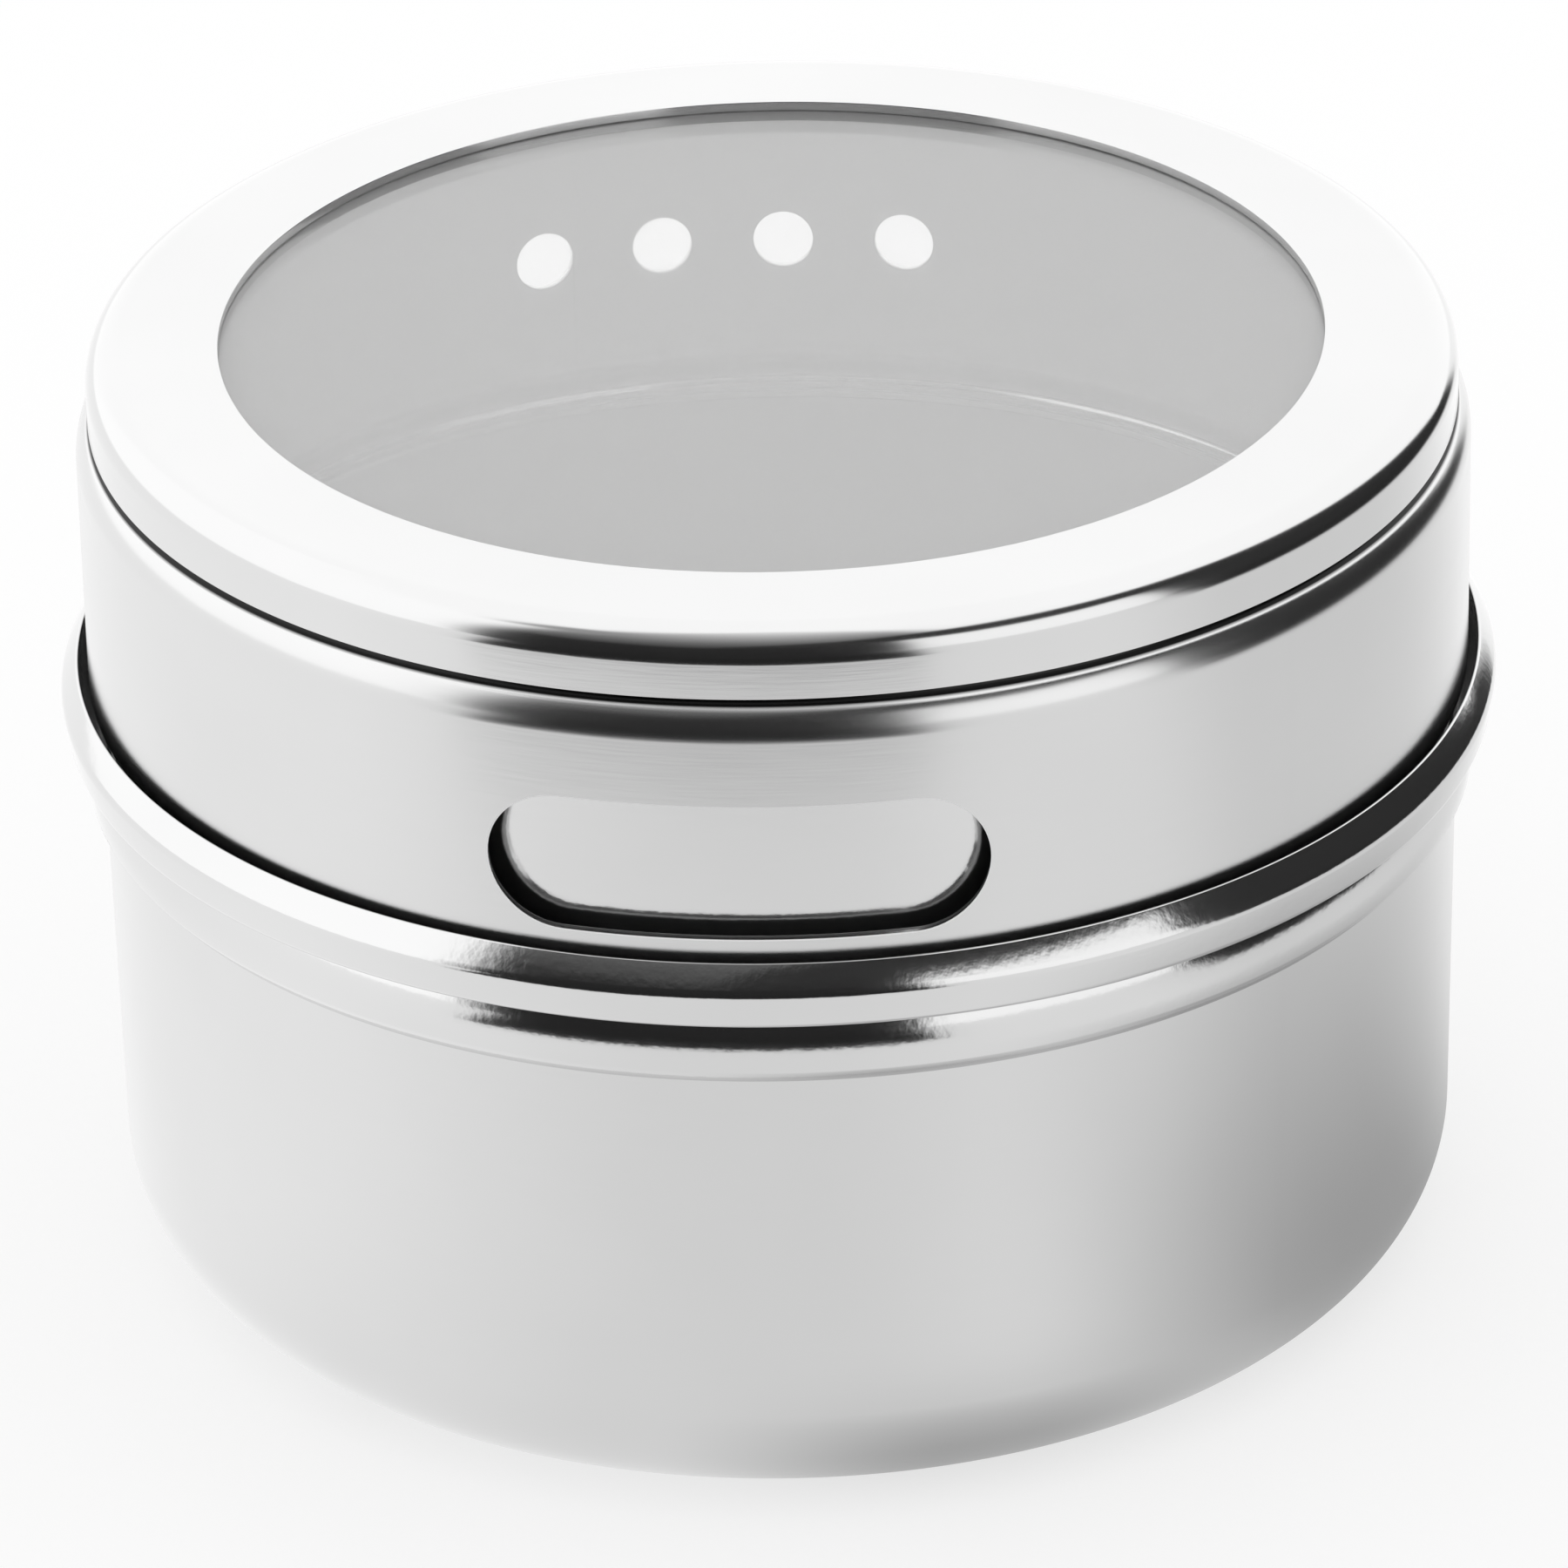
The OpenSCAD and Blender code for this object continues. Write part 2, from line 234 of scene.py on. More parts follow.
def stainless_steel(name, polish, dull=0.3, inner_tone="#D8D8D8", inner_face=(0, 0, 1),
                    corner_side=0, grain=0.0, inner_metal=1.0, rings=()):
    """Satin stainless steel sheet, spun and brushed round the axis. The eye gets fine lines round
    the piece, a faint unevenness of the pressed sheet, and a dull inner face. polish and dull are
    the roughness outside and inside. inner_face is (r, z, size): the inner face lies up to size mm
    past that radius, and where corner_side is -1 or 1 also up to size mm below or above that height,
    as in a rounded corner. Unless it is given, only what lies within 1 mm of the axis is inner face.
    grain is how much the whole piece has roughened in the press, and inner_metal is under 1 where
    the inner face is matt. rings are (r, z, size, tone, roughness): deep folds with painted shade,
    drawn dark in tone, or a bead that is rubbed bright."""
    bright = "#DEDEDE"
    deep = "#D6D6D6"
    # A satin polish leaves lines of about 0.05 mm, and stretched steel roughens at about 0.2 mm. Both
    # are drawn coarser here, so that they show. The lines break up many times on their way round.
    line_width = 0.14
    line_depth = 0.0012
    line_rough = 0.05
    breaks_per_radian = 9
    grain_width = 0.45
    grain_depth = 0.006
    sheet_wave = 7.0
    wave_depth = 0.02
    cloud_width = 16.0
    ring_core = 0.7
    inner_r, inner_z, inner_size = inner_face
    material = bpy.data.materials.new(name)
    material.use_nodes = True
    tree = material.node_tree
    shader = tree.nodes["Principled BSDF"]
    here = add(tree, "ShaderNodeTexCoord").outputs["Object"]
    here = add(tree, "ShaderNodeVectorMath", {0: here, "Scale": 1 / MM}, operation="SCALE")
    flat = add(tree, "ShaderNodeVectorMath", (here, (1, 1, 0)), operation="MULTIPLY")
    radius = add(tree, "ShaderNodeVectorMath", (flat,), operation="LENGTH").outputs["Value"]
    height = add(tree, "ShaderNodeSeparateXYZ", (here,)).outputs["Z"]

    around = add(tree, "ShaderNodeVectorMath", (flat,), operation="NORMALIZE")
    around = add(tree, "ShaderNodeVectorMath", {0: around, "Scale": breaks_per_radian}, operation="SCALE")
    across = add(tree, "ShaderNodeMath", (radius, height), operation="ADD")
    across = add(tree, "ShaderNodeMath", (across, line_width), operation="DIVIDE")
    across = add(tree, "ShaderNodeCombineXYZ", {2: across})
    brushed = add(tree, "ShaderNodeVectorMath", (around, across), operation="ADD")
    lines = add(tree, "ShaderNodeTexNoise", {"Vector": brushed, "Scale": 1.0, "Detail": 2.0})
    waves = add(tree, "ShaderNodeTexNoise", {"Vector": here, "Scale": 1 / sheet_wave, "Detail": 1.0})
    clouds = add(tree, "ShaderNodeTexNoise", {"Vector": here, "Scale": 1 / cloud_width, "Detail": 3.0})
    grains = add(tree, "ShaderNodeTexNoise", {"Vector": here, "Scale": 1 / grain_width, "Detail": 2.0})

    past_r = add(tree, "ShaderNodeMath", (radius, inner_r), operation="SUBTRACT")
    past_r = add(tree, "ShaderNodeMath", (past_r, 0.0), operation="MAXIMUM")
    past_z = add(tree, "ShaderNodeMath", (height, inner_z), operation="SUBTRACT")
    past_z = add(tree, "ShaderNodeMath", (past_z, corner_side), operation="MULTIPLY")
    past_z = add(tree, "ShaderNodeMath", (past_z, 0.0), operation="MAXIMUM")
    past = add(tree, "ShaderNodeCombineXYZ", (past_r, past_z))
    past = add(tree, "ShaderNodeVectorMath", (past,), operation="LENGTH").outputs["Value"]
    inside = add(tree, "ShaderNodeMath", (past, inner_size), operation="LESS_THAN")

    rough = add(tree, "ShaderNodeMapRange", {"Value": inside, "To Min": polish, "To Max": dull})
    rough = add(tree, "ShaderNodeMath", (lines, line_rough, rough), operation="MULTIPLY_ADD")
    outer_tone = add(tree, "ShaderNodeMix", {
        0: clouds, 6: linear(deep), 7: linear(bright)}, data_type="RGBA").outputs[2]
    tone = add(tree, "ShaderNodeMix", {
        0: inside, 6: outer_tone, 7: linear(inner_tone)}, data_type="RGBA").outputs[2]
    metal = add(tree, "ShaderNodeMapRange", {"Value": inside, "To Min": 1.0, "To Max": inner_metal})
    for ring_r, ring_z, size, ring_tone, ring_rough in rings:
        off = add(tree, "ShaderNodeCombineXYZ", (radius, height))
        off = add(tree, "ShaderNodeVectorMath", (off, (ring_r, ring_z, 0)), operation="DISTANCE")
        near = add(tree, "ShaderNodeMapRange", (
            off.outputs["Value"], ring_core * size, size, 1.0, 0.0))
        tone = add(tree, "ShaderNodeMix", {
            0: near, 6: tone, 7: linear(ring_tone)}, data_type="RGBA").outputs[2]
        rough = add(tree, "ShaderNodeMix", {0: near, 2: rough, 3: ring_rough}, data_type="FLOAT")
        metal = add(tree, "ShaderNodeMath", (metal, near), operation="MAXIMUM")
    wavy = add(tree, "ShaderNodeBump", {"Height": waves, "Distance": wave_depth * MM})
    grainy = add(tree, "ShaderNodeBump", {
        "Height": grains, "Strength": grain, "Distance": grain_depth * MM, "Normal": wavy})
    fine = add(tree, "ShaderNodeBump", {
        "Height": lines, "Distance": line_depth * MM, "Normal": grainy})
    tree.links.new(metal.outputs[0], shader.inputs["Metallic"])
    tree.links.new(tone, shader.inputs["Base Color"])
    tree.links.new(rough.outputs[0], shader.inputs["Roughness"])
    tree.links.new(fine.outputs[0], shader.inputs["Normal"])
    return material


ring_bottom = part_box("neck_ring")[0].z / MM
cup_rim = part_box("cup")[1] / MM
cup_wall = 0.4
cup_taper = 0.2
cup_foot_r = cup_rim.x - cup_taper
cup_corner = 5.7
pocket_r = 16.15
pocket_height = 4.45
pocket_bend = 0.5
cup_path = [(0, pocket_height)] \
    + arc(pocket_r - pocket_bend, pocket_height - pocket_bend, pocket_bend, 90, 0, 6) \
    + arc(pocket_r + pocket_bend + cup_wall, pocket_bend + cup_wall, pocket_bend + cup_wall, 180, 270, 8) \
    + arc(cup_foot_r - cup_corner, cup_corner, cup_corner, -90, 0, 32) \
    + [(cup_rim.x, ring_bottom), (cup_rim.x, cup_rim.z)]
# Painted light: the cup's inner face is lighter in tone than the steel is, standing in for the light that
# falls in through the window, and a little darker than the neck's inside.
cup_steel = stainless_steel(
    "Drawn stainless steel, satin", polish=0.19, dull=0.5, inner_tone="#EEEEEE",
    inner_face=(cup_foot_r - cup_corner, cup_corner, cup_corner - cup_wall / 2), corner_side=-1,
    inner_metal=0.35)
cup = spun_piece("cup_shell", sheet(cup_path, -cup_wall), cup_steel)
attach(cup, "box")
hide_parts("cup")

# Neck ring
# A second pressing, crimped over the cup's rim. It rises as the neck that the lid turns on, folds
# into a trough and a double lip, and ends in the two bright beads. Its openings are punched.


def punching_tree():
    """Cuts a row of openings with round ends through an upright wall."""
    tree, given = geometry_tree("Punched openings", {
        "Width": "Float", "Height": "Float", "Wall radius": "Float", "Level": "Float",
        "Direction": "Float", "Count": "Int", "Step": "Float", "Material": "Material"})
    punch_faces = 64
    punch_depth = 9 * MM
    half_height = add(tree, "ShaderNodeMath", (given["Height"], 2.0), operation="DIVIDE")
    spread = add(tree, "ShaderNodeMath", (given["Width"], given["Height"]), operation="SUBTRACT")
    half_spread = add(tree, "ShaderNodeMath", (spread, -2.0), operation="DIVIDE")
    punch = add(tree, "GeometryNodeMeshCylinder", {
        "Vertices": punch_faces, "Radius": half_height, "Depth": punch_depth})
    lying = add(tree, "GeometryNodeTransform", {0: punch, "Rotation": (0, math.radians(90), 0)})
    start = add(tree, "ShaderNodeCombineXYZ", {1: half_spread})
    offset = add(tree, "ShaderNodeCombineXYZ", {1: spread})
    ends = add(tree, "GeometryNodeMeshLine", {"Count": 2, "Start Location": start, "Offset": offset})
    both = add(tree, "GeometryNodeInstanceOnPoints", {0: ends, "Instance": lying})
    both = add(tree, "GeometryNodeRealizeInstances", (both,))
    cutter = add(tree, "GeometryNodeConvexHull", (both,))

    row = add(tree, "GeometryNodeMeshLine", {"Count": given["Count"]})
    last = add(tree, "ShaderNodeMath", (given["Count"], 1.0), operation="SUBTRACT")
    middle = add(tree, "ShaderNodeMath", (last, 2.0), operation="DIVIDE")
    turn = add(tree, "ShaderNodeMath", (add(tree, "GeometryNodeInputIndex"), middle), operation="SUBTRACT")
    turn = add(tree, "ShaderNodeMath", (turn, given["Step"], given["Direction"]), operation="MULTIPLY_ADD")
    sides = []
    for side in ("COSINE", "SINE"):
        part = add(tree, "ShaderNodeMath", (turn,), operation=side)
        sides.append(add(tree, "ShaderNodeMath", (part, given["Wall radius"]), operation="MULTIPLY"))
    spot = add(tree, "ShaderNodeCombineXYZ", (*sides, given["Level"]))
    placed = add(tree, "GeometryNodeSetPosition", {0: row, "Position": spot})
    facing = add(tree, "ShaderNodeCombineXYZ", {2: turn})
    cutters = add(tree, "GeometryNodeInstanceOnPoints", {
        0: placed, "Instance": cutter, "Rotation": facing})
    cutters = add(tree, "GeometryNodeRealizeInstances", (cutters,))
    cut = add(tree, "GeometryNodeMeshBoolean", {
        "Mesh 1": given["Geometry"], "Mesh 2": cutters}, operation="DIFFERENCE", solver="EXACT")
    finish_tree(tree, cut, given["Material"])
    return tree


def punch_row(piece, steel, wall_r, level, direction, width, height, count=1, step=0.0):
    """Punches a row of openings through a wall. Sizes are in mm. The direction of the row's middle
    is in degrees, and its step in radians."""
    run_tree(piece, punched_openings, **{
        "Width": width * MM, "Height": height * MM, "Wall radius": wall_r * MM,
        "Level": level * MM, "Direction": math.radians(direction), "Count": count, "Step": step,
        "Material": steel})


def finish_punching(piece, wall_r, thickness):
    """Rounds the punched rims, and gives the upright wall that they are in its exact round shading."""
    rim_round = 0.05
    face_reach = 0.002
    low, high = upright_wall
    form = bmesh.new()
    form.from_mesh(piece.data)
    rims = [e for e in form.edges if low < e.verts[0].co.z / MM < high
            and len(e.link_faces) == 2 and e.calc_face_angle() > sharp_bend]
    bmesh.ops.bevel(form, geom=rims, offset=rim_round * MM, offset_type="OFFSET", segments=3,
                    profile=0.5, affect="EDGES", clamp_overlap=False)
    for face in form.faces:
        face.smooth = True
    form.to_mesh(piece.data)
    form.free()
    keep_flats(piece)
    mesh = piece.data
    normals = [corner.vector.copy() for corner in mesh.corner_normals]
    for corner in mesh.loops:
        spot = mesh.vertices[corner.vertex_index].co / MM
        if low < spot.z < high:
            for face_r, side in ((wall_r, 1), (wall_r - thickness, -1)):
                if abs(spot.xy.length - face_r) < face_reach:
                    normals[corner.index] = Vector((spot.x, spot.y, 0)).normalized() * side
    mesh.normals_split_custom_set(normals)


punched_openings = punching_tree()
upright_wall = (30.0, 37.9)
slot_level = 33.655
slot_height = 6.5
pour_width = 20
pour_height = 6.5
pour_turn = -90
hole_width = 2.9
hole_count = 4
hole_pitch = 6.0
hole_rise = 1.1
hole_level = slot_level + hole_rise
shaking_direction = 94.3
pour_direction = shaking_direction + pour_turn
ring_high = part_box("neck_ring")[1] / MM
mouth_z = ring_high.z
bead_r = ring_high.x
ring_wall = 0.4
neck_r = 30.8
neck_bend = 0.3
mouth_roll = 0.6
trough_z = cup_rim.z + ring_wall
trough_edge = 0.2
trough_top = 27.75
# The photo has a bright line inside the neck's foot. It is drawn as a small bead, which isn't in the
# CAD.
foot_bead_r = 0.4
foot_bead_out = 0.16
foot_bead_rise = 0.35
foot_bead_z = trough_z + neck_bend + foot_bead_rise
foot_bead_turn = math.degrees(math.acos(1 - foot_bead_out / foot_bead_r))
crimp_fit = 0.05
crimp_r = cup_rim.x + crimp_fit
lip_r = 32.45
# The lip's crest is sharper than the CAD's, with a straight slope outside it. The lip and the lower
# bead are widest a little lower, and the upper bead's lower edge is rounder. All are as in the photo.
lip_edge = 0.08
lip_slope = 31
crest_z = 29.55
widest_z = 28.1
lip_in = bead_r - lip_r - lip_edge
lip_fall = crest_z - lip_edge - widest_z
slope_cos, slope_sin = math.cos(math.radians(lip_slope)), math.sin(math.radians(lip_slope))
lip_round = (lip_edge + lip_fall * slope_sin - lip_in * slope_cos) / (1 - slope_cos)
bead_taper = 0.18
bead_edge = 0.45
groove_r = crimp_r + ring_wall
groove_top = 26.5
groove_bend = 0.25
lower_r = 32.3
lower_z = 24.5
blend_turn = 1
tip_turn = 8
tip_width = 0.1
fold_rise = 0.8
fold_drop = 0.85
groove_out = lower_r - groove_r
groove_drop = groove_top - groove_bend - lower_z
lower_round = (groove_out ** 2 + groove_drop ** 2) / (2 * groove_out)
lower_start = math.degrees(math.asin(groove_drop / lower_round)) - blend_turn
upper_r = bead_r - bead_taper
neck_outline = arc(neck_r - mouth_roll, mouth_z - mouth_roll, mouth_roll, 180, 0, 24) \
    + arc(neck_r + neck_bend, trough_z + neck_bend, neck_bend, 180, 270, 8) \
    + [(crimp_r - trough_edge, trough_z), (lip_r, trough_top)] \
    + arc(lip_r + lip_edge, crest_z - lip_edge, lip_edge, 180, lip_slope, 8) \
    + arc(bead_r - lip_round, widest_z, lip_round, lip_slope, 0, 24) \
    + arc(upper_r - bead_edge, groove_top + bead_edge, bead_edge, 0, -90, 10) \
    + arc(groove_r + groove_bend, groove_top - groove_bend, groove_bend, 90, 180, 8) \
    + arc(lower_r - lower_round, lower_z, lower_round, lower_start, 0, 20) \
    + arc(lower_r - lower_round, lower_z, lower_round, -blend_turn, -tip_turn, 6) \
    + [(crimp_r + tip_width, ring_bottom), (crimp_r, ring_bottom), (crimp_r, ring_bottom + fold_rise),
       (lower_r - ring_wall, lower_z), (crimp_r, lower_z + fold_drop), (crimp_r, cup_rim.z)] \
    + arc(neck_r + neck_bend, trough_z + neck_bend, neck_bend + ring_wall, 270, 180, 8) \
    + arc(neck_r - ring_wall - foot_bead_out + foot_bead_r, foot_bead_z, foot_bead_r,
          180 + foot_bead_turn, 180 - foot_bead_turn, 12) \
    + arc(neck_r - mouth_roll, mouth_z - mouth_roll, mouth_roll - ring_wall, 0, 180, 12)
rub_reach = foot_bead_r * 1.2
# Painted shade: the trough and the lip's inner side are drawn dark in tone, where the fold lies in shade.
trough_painted_shade = (31.7, 28.0, 1.5, "#6E6E6E", 0.25)
rubbed_bead = (neck_r - ring_wall, foot_bead_z, rub_reach, "#F4F4F4", 0.14)
# Painted light: the neck's inner face is white, lighter than the cup's inside, standing in for the light
# that falls in through the window onto the neck's far wall.
neck_steel = stainless_steel(
    "Pressed stainless steel, bright beads", polish=0.1, dull=0.42, inner_tone="#FFFFFF",
    inner_face=(0, 0, neck_r - ring_wall / 2), grain=1.0, inner_metal=0.35,
    rings=(trough_painted_shade, rubbed_bead))
neck = spun_piece("neck_and_beads", neck_outline, neck_steel, steps=512)
punch_row(neck, neck_steel, neck_r, hole_level, shaking_direction, hole_width, hole_width,
          count=hole_count, step=hole_pitch / neck_r)
punch_row(neck, neck_steel, neck_r, slot_level, pour_direction, pour_width, pour_height)
settle(neck)
finish_punching(neck, neck_r, ring_wall)
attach(neck, "box")
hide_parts("neck_ring")

# Lid skirt
# The spun steel side of the lid: a ledge that carries the window, a step for the bezel, a rounded
# shoulder, a wall with a punched slot in front and one behind, and a hem that turns in.
lid_wall = 0.45
skirt_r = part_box("lid_skirt")[1].x / MM
ledge_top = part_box("lid_skirt")[1].z / MM
hem_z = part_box("lid_skirt")[0].z / MM
step_r = 30.9
step_bend = 0.6
ledge_r = 27.5
# The shoulder is rounder than the CAD's, and slopes up into the gap under the bezel, as in the photo.
shoulder_round = 2.24
shoulder_drop = 1.87
shoulder_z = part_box("lid_bezel")[0].z / MM - shoulder_drop
shoulder_slope = 36
shoulder_r = skirt_r - shoulder_round
slope_top = (31.38, 41.57)
step_foot = (step_r, 41.56)
hem_round = 0.75
hem_r = 31.1
slot_width = 22
front_direction = -93.6
skirt_path = [(ledge_r, ledge_top)] \
    + arc(step_r - step_bend, ledge_top - step_bend, step_bend, 90, 0, 8) + [step_foot, slope_top] \
    + arc(shoulder_r, shoulder_z, shoulder_round, shoulder_slope, 0, 36) \
    + arc(skirt_r - hem_round, hem_z + hem_round, hem_round, 0, -90, 16) \
    + [(hem_r, hem_z)]
# Painted shade: the crease under the bezel is drawn dark in tone, where the gap between the skirt and the
# bezel lies in shade.
bezel_gap_painted_shade = (31.12, 41.65, 0.42, "#303030", 0.3)
lid_steel = stainless_steel(
    "Spun stainless steel, satin lid side", polish=0.19, dull=0.4, inner_tone="#9C9C9C",
    inner_face=(shoulder_r, shoulder_z, shoulder_round - lid_wall / 2), corner_side=1,
    rings=(bezel_gap_painted_shade,))
skirt = spun_piece("lid_side", sheet(skirt_path, lid_wall), lid_steel, steps=512)
for direction in (front_direction, shaking_direction):
    punch_row(skirt, lid_steel, skirt_r, slot_level, direction, slot_width, slot_height)
settle(skirt)
finish_punching(skirt, skirt_r, lid_wall)
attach(skirt, "lid")
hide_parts("lid_skirt")

# Bezel
# A steel ring with a flat face and a rounded edge, pressed down over the skirt's step so that it
# holds the window. Its face is the brightest part of the box, finely turned.
lid_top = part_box("lid_bezel")[1].z / MM
band_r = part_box("lid_bezel")[1].x / MM
band_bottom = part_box("lid_bezel")[0].z / MM
view_r = 25.3
bezel_round = 1.5
bezel_edge = 0.04
bezel_path = [(view_r, lid_top)] \
    + arc(band_r - bezel_round, lid_top - bezel_round, bezel_round, 90, 0, 36) \
    + [(band_r, band_bottom)]
bezel_end = len(bezel_path) - 1
bezel_outline = rounded(sheet(bezel_path, lid_wall), bezel_edge, 0, bezel_end, bezel_end + 1, -1)
bezel_steel = stainless_steel("Turned stainless steel, bright bezel", polish=0.12)
bezel = spun_piece("bezel_ring", bezel_outline, bezel_steel)
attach(bezel, "lid")
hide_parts("lid_bezel")

# Window
# A loose disc of clear polystyrene, cut from sheet, that lies on the skirt's ledge under the bezel.
# The neck and its holes show through it under a pale veil, as in the photo. A real disc is clearer.


def disc_outline(node, edge):
    """Outline of a disc that fills a CAD node, with its two edges broken."""
    low, high = (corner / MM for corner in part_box(node))
    return rounded([(0, low.z), (high.x, low.z), (high.x, high.z), (0, high.z)], edge, 1, 2)


pane_edge = 0.15
haze_width = 11.0
haze_spread = (0.3, 0.7)
haze_rough = 0.03
pane_plastic = bpy.data.materials.new("Clear polystyrene sheet")
pane_plastic.use_nodes = True
pane_tree = pane_plastic.node_tree
pane_shader = pane_tree.nodes["Principled BSDF"]
pane_shader.inputs["Base Color"].default_value = linear("#FAFAFA")
pane_shader.inputs["Transmission Weight"].default_value = 0.76
pane_shader.inputs["IOR"].default_value = 1.59
pane_place = add(pane_tree, "ShaderNodeTexCoord").outputs["Object"]
pane_haze = add(pane_tree, "ShaderNodeTexNoise", {
    "Vector": pane_place, "Scale": 1 / (haze_width * MM), "Detail": 3.0})
pane_rough = add(pane_tree, "ShaderNodeMapRange", (pane_haze, *haze_spread, 0.0, haze_rough))
pane_tree.links.new(pane_rough.outputs[0], pane_shader.inputs["Roughness"])
pane = spun_piece("window_pane", disc_outline("window_disc", pane_edge), pane_plastic)
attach(pane, "window")
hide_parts("window_disc")

# Magnet
# A disc of sintered ferrite, pressed and fired, then ground flat with its edges broken. It is dark
# grey and matt. Its grain, of a few thousandths of a millimetre, is drawn coarser, so that it shows.


def matt_grained(name, dark, light, width, depth, roughness):
    """A matt finish whose colour and surface vary with a grain of this width and depth, in mm."""
    rough_spread = 0.2
    material = bpy.data.materials.new(name)
    material.use_nodes = True
    tree = material.node_tree
    shader = tree.nodes["Principled BSDF"]
    here = add(tree, "ShaderNodeTexCoord").outputs["Object"]
    grain = add(tree, "ShaderNodeTexNoise", {
        "Vector": here, "Scale": 1 / (width * MM), "Detail": 4.0, "Roughness": 0.6})
    tone = add(tree, "ShaderNodeMix", {
        0: grain, 6: linear(dark), 7: linear(light)}, data_type="RGBA").outputs[2]
    rough = add(tree, "ShaderNodeMath", (grain, rough_spread, roughness), operation="MULTIPLY_ADD")
    uneven = add(tree, "ShaderNodeBump", {"Height": grain, "Distance": depth * MM})
    tree.links.new(tone, shader.inputs["Base Color"])
    tree.links.new(rough.outputs[0], shader.inputs["Roughness"])
    tree.links.new(uneven.outputs[0], shader.inputs["Normal"])
    return material


magnet_edge = 0.3
ferrite = matt_grained(
    "Sintered ferrite", "#242427", "#45454A", width=0.35, depth=0.03, roughness=0.5)
magnet = spun_piece("ferrite_disc", disc_outline("magnet", magnet_edge), ferrite, steps=160)
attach(magnet, "box")
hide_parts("magnet")

# Magnet pad
# A disc of white double-sided polyethylene foam, die-cut from a roll, that holds the magnet up
# against the cup. Its cells show as a fine dull pitting.
pad_edge = 0.06
foam = matt_grained(
    "Die-cut polyethylene foam", "#CFCDC6", "#F1F0EB", width=0.25, depth=0.08, roughness=0.75)
pad = spun_piece("foam_disc", disc_outline("magnet_pad", pad_edge), foam, steps=160)
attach(pad, "box")
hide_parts("magnet_pad")

# Magnet cap
# A shallow cap moulded in dark polypropylene, pressed over the magnet and glued into the pocket. It
# has a softly matt, spark-eroded face and a chamfered edge.
cap_low, cap_high = (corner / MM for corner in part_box("magnet_cap"))
cap_wall = 0.8
cap_edge = 0.5
cap_round = 0.12
cap_outline = [
    (0, cap_low.z), (cap_high.x - cap_edge, cap_low.z), (cap_high.x, cap_low.z + cap_edge),
    (cap_high.x, cap_high.z), (cap_high.x - cap_wall, cap_high.z),
    (cap_high.x - cap_wall, cap_low.z + cap_wall), (0, cap_low.z + cap_wall)]
polypropylene = matt_grained(
    "Moulded polypropylene", "#151517", "#202023", width=0.15, depth=0.01, roughness=0.4)
cap = spun_piece("magnet_cover", rounded(cap_outline, cap_round, 1, 2, 3, 4), polypropylene, steps=192)
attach(cap, "box")
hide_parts("magnet_cap")

# Studio walls
# What the polished steel mirrors: a white room, a long soft box on the left, a narrow one at the
# right, a dark gap at the front under a ceiling that brightens upwards, and a dark wall. Headings
# are in degrees from the front towards +X, and rises in degrees above the table.
world = bpy.data.worlds.new("White studio")
bpy.context.scene.world = world
world.use_nodes = True
sky_tree = world.node_tree
sky_tree.nodes.clear()


def between(tree, value, low, high, soft):
    """1 between low and high, with soft edges, and 0 outside."""
    climb = add(tree, "ShaderNodeMapRange", (value, low - soft / 2, low + soft / 2),
                interpolation_type="SMOOTHSTEP")
    drop = add(tree, "ShaderNodeMapRange", (value, high - soft / 2, high + soft / 2, 1.0, 0.0),
               interpolation_type="SMOOTHSTEP")
    return add(tree, "ShaderNodeMath", (climb, drop), operation="MULTIPLY")


def heading_of(tree, place):
    """Which way a point or a ray lies from the box, in degrees, and its height."""
    part = add(tree, "ShaderNodeSeparateXYZ", (place,)).outputs
    near = add(tree, "ShaderNodeMath", (part["Y"], -1.0), operation="MULTIPLY")
    turn = add(tree, "ShaderNodeMath", (part["X"], near), operation="ARCTAN2")
    return add(tree, "ShaderNodeMath", (turn,), operation="DEGREES"), part["Z"]


ray = add(sky_tree, "ShaderNodeTexCoord").outputs["Generated"]
ray = add(sky_tree, "ShaderNodeVectorMath", (ray,), operation="NORMALIZE")
heading, up = heading_of(sky_tree, ray)
rise = add(sky_tree, "ShaderNodeMath", (up,), operation="ARCSINE")
rise = add(sky_tree, "ShaderNodeMath", (rise,), operation="DEGREES")


def panel(behind, brightness, headings, rises, soft):
    """Sets a panel between two headings and two rises in front of what is behind it."""
    sides = between(sky_tree, heading, *headings, soft)
    ends = between(sky_tree, rise, *rises, soft)
    mask = add(sky_tree, "ShaderNodeMath", (sides, ends), operation="MULTIPLY")
    return add(sky_tree, "ShaderNodeMix", {0: mask, 2: behind, 3: brightness}, data_type="FLOAT")


back_wall = 1.32
left_box = {"brightness": 1.36, "headings": (-146, -48), "rises": (-5, 56), "soft": 6}
box_end = {"brightness": 0.35, "headings": (-62, -38), "rises": (54, 66), "soft": 7}
camera_gap = {"brightness": 0.02, "headings": (-45, 21), "rises": (-100, 33), "soft": 5}
right_box = {"brightness": 1.25, "headings": (21, 64), "rises": (-26, 33), "soft": 4}
ceiling_rises = (20, 95)
ceiling_light = 1.15
ceiling_dark = 0.035
climb = add(sky_tree, "ShaderNodeMapRange", (rise, *ceiling_rises, 0.0, 1.0))
climb = add(sky_tree, "ShaderNodeMath", (climb, climb), operation="MULTIPLY")
ceiling = add(sky_tree, "ShaderNodeMath", (climb, ceiling_light, ceiling_dark),
              operation="MULTIPLY_ADD")
light = panel(back_wall, **left_box)
light = panel(light, brightness=ceiling, headings=(-50, 32), rises=(-100, 100), soft=10)
light = panel(light, **box_end)
